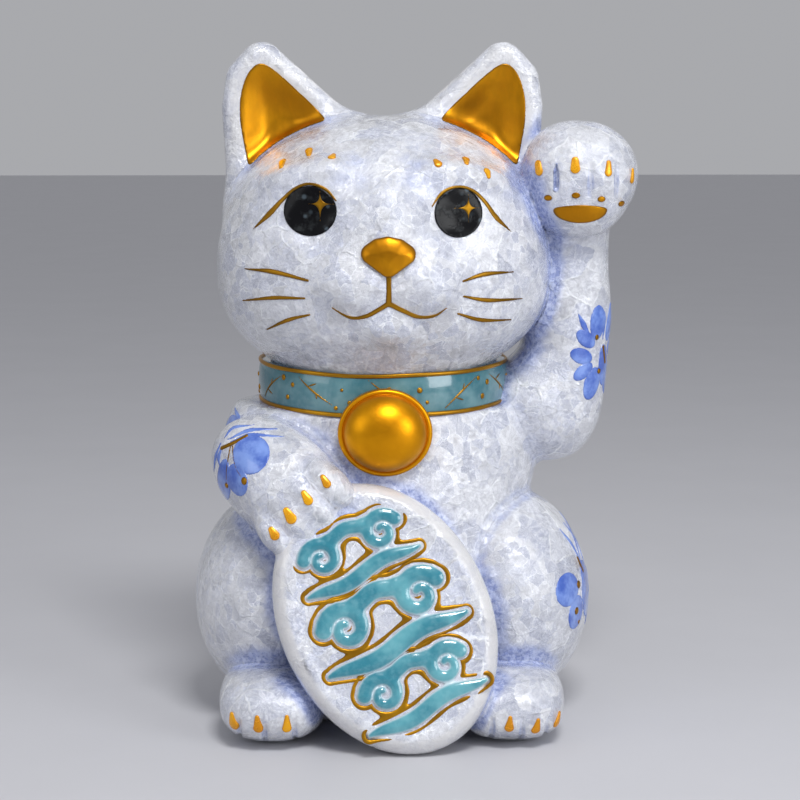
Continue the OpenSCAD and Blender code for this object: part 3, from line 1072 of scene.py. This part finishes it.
def flowers():
    blossom(
        "lowered_arm",
        [((-48.6, 103.6), (7.2, 7.2)), ((-53.4, 94.3), (4.2, 6.0), -10), ((-58.6, 91.6), (3.0, 9.6), 6),
         ((-20, 96), (5.0, 9), -10, FROM_RIGHT), ((-14, 107), (7, 5.5), 20, FROM_RIGHT)],
        [(((-57, 107.5), (-49, 111), (-38, 111.4)),),
         (((-56, 106.8), (-48.5, 109.6), (-36.5, 109.2)),),
         (((-58.3, 107.8), (-55, 111.3), (-47.5, 112.6)),),
         (((-59.6, 106), (-61.6, 101), (-62.4, 95)),),
         (((-59.0, 105), (-60.4, 101), (-60.0, 98)),),
         (((-24, 106), (-17, 112), (-8, 115)), FROM_RIGHT)],
        [(((-59.2, 104.4), (-50.2, 109.2)), (0.8, 0.8)),
         (((-55.3, 106), (-54.0, 99), (-51.0, 94.6)), (0.3, 0.3)),
         (((-56.0, 105.5), (-57.2, 98), (-57.4, 92)), (0.3, 0.3))],
        [((-50.8, 94.4), 1.2), ((-57.4, 91.4), 0.9)],
    )
    blossom(
        "raised_arm",
        [((73.4, 134.2), (4.6, 3.0), 20), ((77.8, 123.6), (3.4, 6.4), 18), ((74.2, 128.4), (4.6, 2.6), -38),
         ((79.6, 146.5), (3.2, 6.6), 4), ((75.0, 140.6), (4.6, 2.8), 42), ((82.4, 130), (2.2, 8), 0),
         ((-4, 146), (4, 7.5), -18, FROM_LEFT), ((3, 136), (7, 4), 0, FROM_LEFT),
         ((-3, 125), (4, 7), 20, FROM_LEFT)],
        [(((78, 138), (74, 146), (72, 150)),), (((82, 140), (82.5, 148), (81.5, 152)),)],
        [(((82.2, 137), (83.2, 131)), (0.8, 0.8))],
        [((80.6, 128), 0.9), ((79.4, 141), 0.9)],
    )
    blossom(
        "haunch",
        [((66.6, 51.0), (5.8, 6.2)), ((70.2, 41.5), (3.8, 6.4), 8), ((74.6, 46), (1.8, 9), -4),
         ((-22, 52), (6, 6.5), 0, FROM_LEFT), ((-10, 48), (6.5, 5.5), 0, FROM_LEFT),
         ((-17, 39), (5, 7), 16, FROM_LEFT)],
        [(((64.8, 71), (69.5, 65), (73.4, 57)),), (((67, 72), (72, 65), (74.8, 57)),),
         (((-24, 58), (-16, 68), (-6, 74)), FROM_LEFT)],
        [(((71.5, 60), (73.6, 55)), (0.7, 0.9))],
        [((71.2, 51.4), 1.2), ((70.2, 42.2), 1.2), ((71.4, 37.4), 0.7)],
    )


# ------------ the plaque's ornament


def scroll_paths(row):
    """A row's strokes in the plaque's plane: two curls that meet in an arch, over a wave."""
    size = (0.86, 1.06, 0.90)[row]
    high = (26.5, 0.5, -25.5)[row]
    strokes = []
    for side in (-1, 1):
        turns = np.linspace(0, 1, 26)
        angle = math.radians(100) - turns * math.radians(440)
        reach = 1.6 + 6.0 * turns
        curl = np.stack([13.4 + reach * np.cos(angle), 1.8 + reach * np.sin(angle)], 1)
        strokes.append((curl * (side, 1), 1.6 + 1.6 * turns))
    t = np.linspace(-1, 1, 30)
    arch = np.stack([7.4 * t, 7.6 + 1.6 * np.cos(t * math.pi / 2) ** 2], 1)
    strokes.append((arch, np.full(30, 3.2)))
    wave = np.stack([25 * t, -10.2 + 1.2 * np.sin(t * math.pi * 1.5) + 1.2 * t], 1)
    strokes.append((wave, 3.4 - 2.3 * np.abs(t) ** 3))
    return [(path * size + (0, high), width * size) for path, width in strokes]


def flat_chain(strokes):
    """The distance in the plaque's plane to a set of tapering strokes."""

    def field(x, y):
        total = np.full(len(x), 60.0)
        for path, width in strokes:
            best = np.full(len(x), 60.0)
            for (ax, ay), (bx, by), ra, rb in zip(path, path[1:], width, width[1:]):
                ex, ey = bx - ax, by - ay
                t = np.clip(((x - ax) * ex + (y - ay) * ey) / (ex * ex + ey * ey + 1e-9), 0, 1)
                away = np.hypot(x - ax - ex * t, y - ay - ey * t)
                best = np.minimum(best, away - (ra + (rb - ra) * t))
            total = join(total, best, 2.0)
        return total

    return field


def plaque_relief(field2d, low, high, rise, step, dome, line=None):
    """A relief on the plaque's face, from a field in its plane.

    It fills the field's inside, or follows its edge as a line of (distance out, half width).
    """
    face = PLAQUE_RIM + PLAQUE_FLAT - PLAQUE_SUNK

    def field(q):
        e = field2d(q[:, 0], q[:, 1])
        if line is not None:
            offset, width = line
            u, v = q[:, 0], q[:, 1]
            sway = 0.16 * np.sin(u * 0.5 + v * 0.3) + 0.12 * np.sin(v * 0.7 - u * 0.3)
            e = np.abs(e - offset) - width * (1 + sway)
        top = q[:, 2] - face - rise - dome * np.sqrt(np.clip(-e / 2.5, 0, 1))
        return np.maximum(meet(e, top, 0.5), face - 0.8 - q[:, 2])

    verts, faces = meshed(field, (*low, face - 1.4), (*high, face + rise + dome + 1.0), step)
    inside = field2d(verts[:, 0], verts[:, 1])
    rim = np.exp(np.minimum(inside, 0) / 0.7)
    if line is not None:
        rim = smooth(0.25, 0.9, np.abs(inside - line[0])) * 0.9
    return verts @ PLAQUE_TURN.T + PLAQUE_AT, faces, rim


def ornament():
    for row, node in enumerate(("upper_scroll", "middle_scroll", "lower_scroll")):
        strokes = scroll_paths(row)
        shape = flat_chain(strokes)
        path = np.concatenate([s[0] for s in strokes])
        low, high = path.min(0) - 7, path.max(0) + 7
        relief = plaque_relief(shape, low, high, 0.5, 0.55 * COARSE, 1.2)
        gather(node + "_enamel", [relief], TEAL, [node])
        gilt = plaque_relief(shape, low, high, 0.25, 0.42 * COARSE, 0.25, line=(1.3, 0.7))
        gather(node + "_outline", [gilt], GILT)


# ------------ collar and bell


def neck_point(angle, out, z):
    """A point out from the neck at an angle: 0 is the front, and it grows towards the cat's left."""
    a = math.radians(angle)
    lift = SIDE_LIFT * math.sin(a) ** 2
    return ((NECK_X + out) * math.sin(a), -(NECK_Y + out) * math.cos(a), z + lift)


def ring(name, profile, material, nodes, wobble=0.0):
    """A closed band round the neck, from a profile of (out, height) points."""
    verts, faces = [], []
    count, n = 144, len(profile)
    for i in range(count):
        angle = 360 * i / count
        turn = math.radians(angle)
        sag = wobble * (math.sin(3 * turn + math.radians(40)) + 0.6 * math.sin(7 * turn))
        verts += [neck_point(angle, out, z + sag) for out, z in profile]
        for j in range(n):
            a, b = i * n + j, i * n + (j + 1) % n
            beside = (i + 1) % count * n
            faces.append((a, b, beside + (j + 1) % n, beside + j))
    piece = add_mesh(name, verts, faces, material)
    # Painted shade: the collar darkens towards its upper and lower edges, under the head's overhang and
    # where it meets the body
    heights = np.array([z for _, _, z in verts])
    middle_z = (COLLAR_LOW + COLLAR_HIGH) / 2
    away = (COLLAR_HIGH - COLLAR_LOW) / 2 - np.abs(heights - middle_z)
    set_attribute(piece, "shade", np.exp(-np.maximum(away - 0.8, 0) / 1.6))
    set_attribute(piece, "rim", np.full(len(verts), 0.3 if material is GILT else 0.0))
    place(piece, nodes)


def swell(t):
    """How far the collar's face stands out from the neck's column, from its lower to its upper edge."""
    return 1.1 * math.sin(math.pi * t) ** 0.6


def collar():
    tall = COLLAR_HIGH - COLLAR_LOW
    face = [(1.9 + swell(t), COLLAR_LOW + 0.4 + (tall - 0.8) * t) for t in np.linspace(0, 1, 15)]
    profile = [(-1.5, COLLAR_LOW + 0.5)] + face + [(-1.5, COLLAR_HIGH - 0.5)]
    ring("collar_band_enamel", profile, BAND, ["collar_band"])
    for node, z in (("collar_upper_cord", COLLAR_HIGH - 0.8), ("collar_lower_cord", COLLAR_LOW + 0.8)):
        turns = np.linspace(0, 2 * math.pi, 13)[:-1]
        round_edge = [(2.35 + 0.6 * math.cos(t), z + 0.8 * math.sin(t)) for t in turns]
        ring(node + "_gold", round_edge, GILT, [node], wobble=0.18)


def collar_sprigs():
    """Gold twigs and dots, brushed round the collar from one loose pattern."""
    tall = COLLAR_HIGH - COLLAR_LOW
    patches = []

    def on_band(angle, t):
        return np.array(neck_point(angle, 1.85 + swell(t), COLLAR_LOW + tall * t))

    def brush(field, low, high, rim):
        verts, faces = meshed(field, low, high, 0.3)
        patches.append((verts, faces, np.full(len(verts), rim)))

    def twig(points, width):
        path = np.array([on_band(a, t) for a, t in curve_through(points, 12)])
        w = np.interp(np.linspace(0, 1, 12), (0, 0.5, 1), (0.15, width, 0.12))
        brush(chain(path, w), path.min(0) - 1.6, path.max(0) + 1.6, 0.6)

    for i in range(11):
        a, up = 360 * i / 11 + rng.uniform(-4, 4), i % 2
        base, tip = (0.2, 0.8) if up else (0.82, 0.24)
        mid, lean = (base + tip) / 2, rng.uniform(-0.06, 0.06)
        twig([(a - 9, base + lean), (a, mid), (a + 10, tip)], 0.42)
        twig([(a - 3, mid - (tip - base) * 0.18), (a + 2, mid - (tip - base) * 0.34)], 0.34)
        twig([(a + 1, mid + (tip - base) * 0.05), (a + 2, mid + (tip - base) * 0.32)], 0.32)
        for da, t in ((14, 0.62 - 0.3 * up), (17.5, 0.34 + 0.28 * up), (11, 0.2 + 0.55 * up)):
            size = rng.uniform(0.6, 1.25)
            spot = on_band(a + da, t)
            out = spot * (1, 1, 0) / np.hypot(spot[0], spot[1])
            turn = math.degrees(math.atan2(out[1], out[0])) + 90
            flat = ellipsoid(spot, (size, 0.45, size), (0, 0, turn))
            brush(flat, spot - size - 0.9, spot + size + 0.9, 0.3)
    gather("collar_sprigs", patches, GILT)


def bell():
    """A shallow dome turned inside a round rim, facing forward."""
    low, high = (np.array(c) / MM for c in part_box("bell"))
    c = (low + high) / 2
    r, squash = (high[0] - low[0]) / 2, (high[2] - low[2]) / (high[0] - low[0])
    back, front = high[1] + 2.0, low[1]
    tall, lip = 10.4, 1.1
    edge = [(r - 0.4, back), (r - 0.1, front + tall + 0.4)]
    edge += [(r - lip + lip * math.cos(t), front + tall - lip * math.sin(t))
             for t in np.linspace(0, 2.2, 9)]
    dome = [((r - 1.9) * math.cos(t), front + tall - tall * math.sin(t))
            for t in np.linspace(0.06, math.pi / 2, 24)[:-1]]
    count = 96
    turns = [2 * math.pi * i / count for i in range(count)]
    verts = [(c[0] + out * math.sin(a), y, c[2] + squash * out * math.cos(a))
             for out, y in edge + dome for a in turns]
    last, tip = len(verts) - count, len(verts)
    verts.append((c[0], front, c[2]))
    sides = [(i, (i + 1) % count) for i in range(count)]
    faces = [(row + i, row + k, row + count + k, row + count + i)
             for row in range(0, last, count) for i, k in sides]
    faces += [(last + i, last + k, tip) for i, k in sides]
    faces.append(tuple(range(count))[::-1])
    place(add_mesh("bell_gold", verts, faces, GOLD_DOME), ["bell"])


claws()
pads()
eyes()
sparkles()
face_lines()
nose()
ear_linings()
flowers()
ornament()
collar()
collar_sprigs()
bell()


# ------------ stage, light and camera


def stage_material(name, colour, roughness):
    m = Nodes(name)
    grain = m.noise(m.where, 14.0, 6, 0.6)
    tint = tuple(v * 0.93 for v in colour[:3])
    m.shade(Base_Color=m.mix(grain, rgb(*tint), colour), Roughness=roughness)
    return m.material


def plane(name, corners, material):
    mesh = bpy.data.meshes.new(name)
    mesh.from_pydata(corners, [], [(0, 1, 2, 3)])
    mesh.materials.append(material)
    link(name, mesh)


def area_light(name, at, aim, size, power, colour=(1, 1, 1)):
    data = bpy.data.lights.new(name, "AREA")
    data.shape = "RECTANGLE"
    data.size, data.size_y = size
    data.energy = power
    data.color = colour
    lamp = link(name, data)
    lamp.location = at
    lamp.rotation_euler = (Vector(aim) - Vector(at)).to_track_quat("-Z", "Y").to_euler()


def camera():
    distance, azimuth, elevation = 0.8, math.radians(-2), math.radians(8)
    target = Vector((0.0064, 0, 0.116))
    level = math.cos(elevation)
    back = Vector((math.sin(azimuth) * level, -math.cos(azimuth) * level, math.sin(elevation)))
    data = bpy.data.cameras.new("camera")
    data.sensor_width, data.lens = 36, 95
    data.clip_start = 0.01
    view = link("camera", data)
    view.location = target + back * distance
    view.rotation_euler = back.to_track_quat("Z", "Y").to_euler()
    bpy.context.scene.camera = view


def world():
    w = bpy.data.worlds.new("studio")
    w.use_nodes = True
    w.node_tree.nodes["Background"].inputs[0].default_value = rgb(0.86, 0.87, 0.91)
    w.node_tree.nodes["Background"].inputs[1].default_value = 0.46
    bpy.context.scene.world = w
    bpy.context.scene.view_settings.view_transform = "Standard"


floor_mat = stage_material("floor_paint", rgb(0.58, 0.58, 0.61), 0.55)
plane("floor", [(-6, -6, 0), (6, -6, 0), (6, 6, 0), (-6, 6, 0)], floor_mat)
area_light("overhead", (0.14, -0.66, 1.0), (0, 0, 0.15), (0.34, 0.26), 8.2)
area_light("window", (0.85, -0.80, 0.42), (0, 0, 0.08), (0.45, 0.6), 4.8, (0.96, 0.98, 1))
area_light("fill", (-1.05, -0.65, 0.55), (0, 0, 0.12), (0.6, 0.7), 1.8, (0.97, 0.98, 1))
camera()
world()
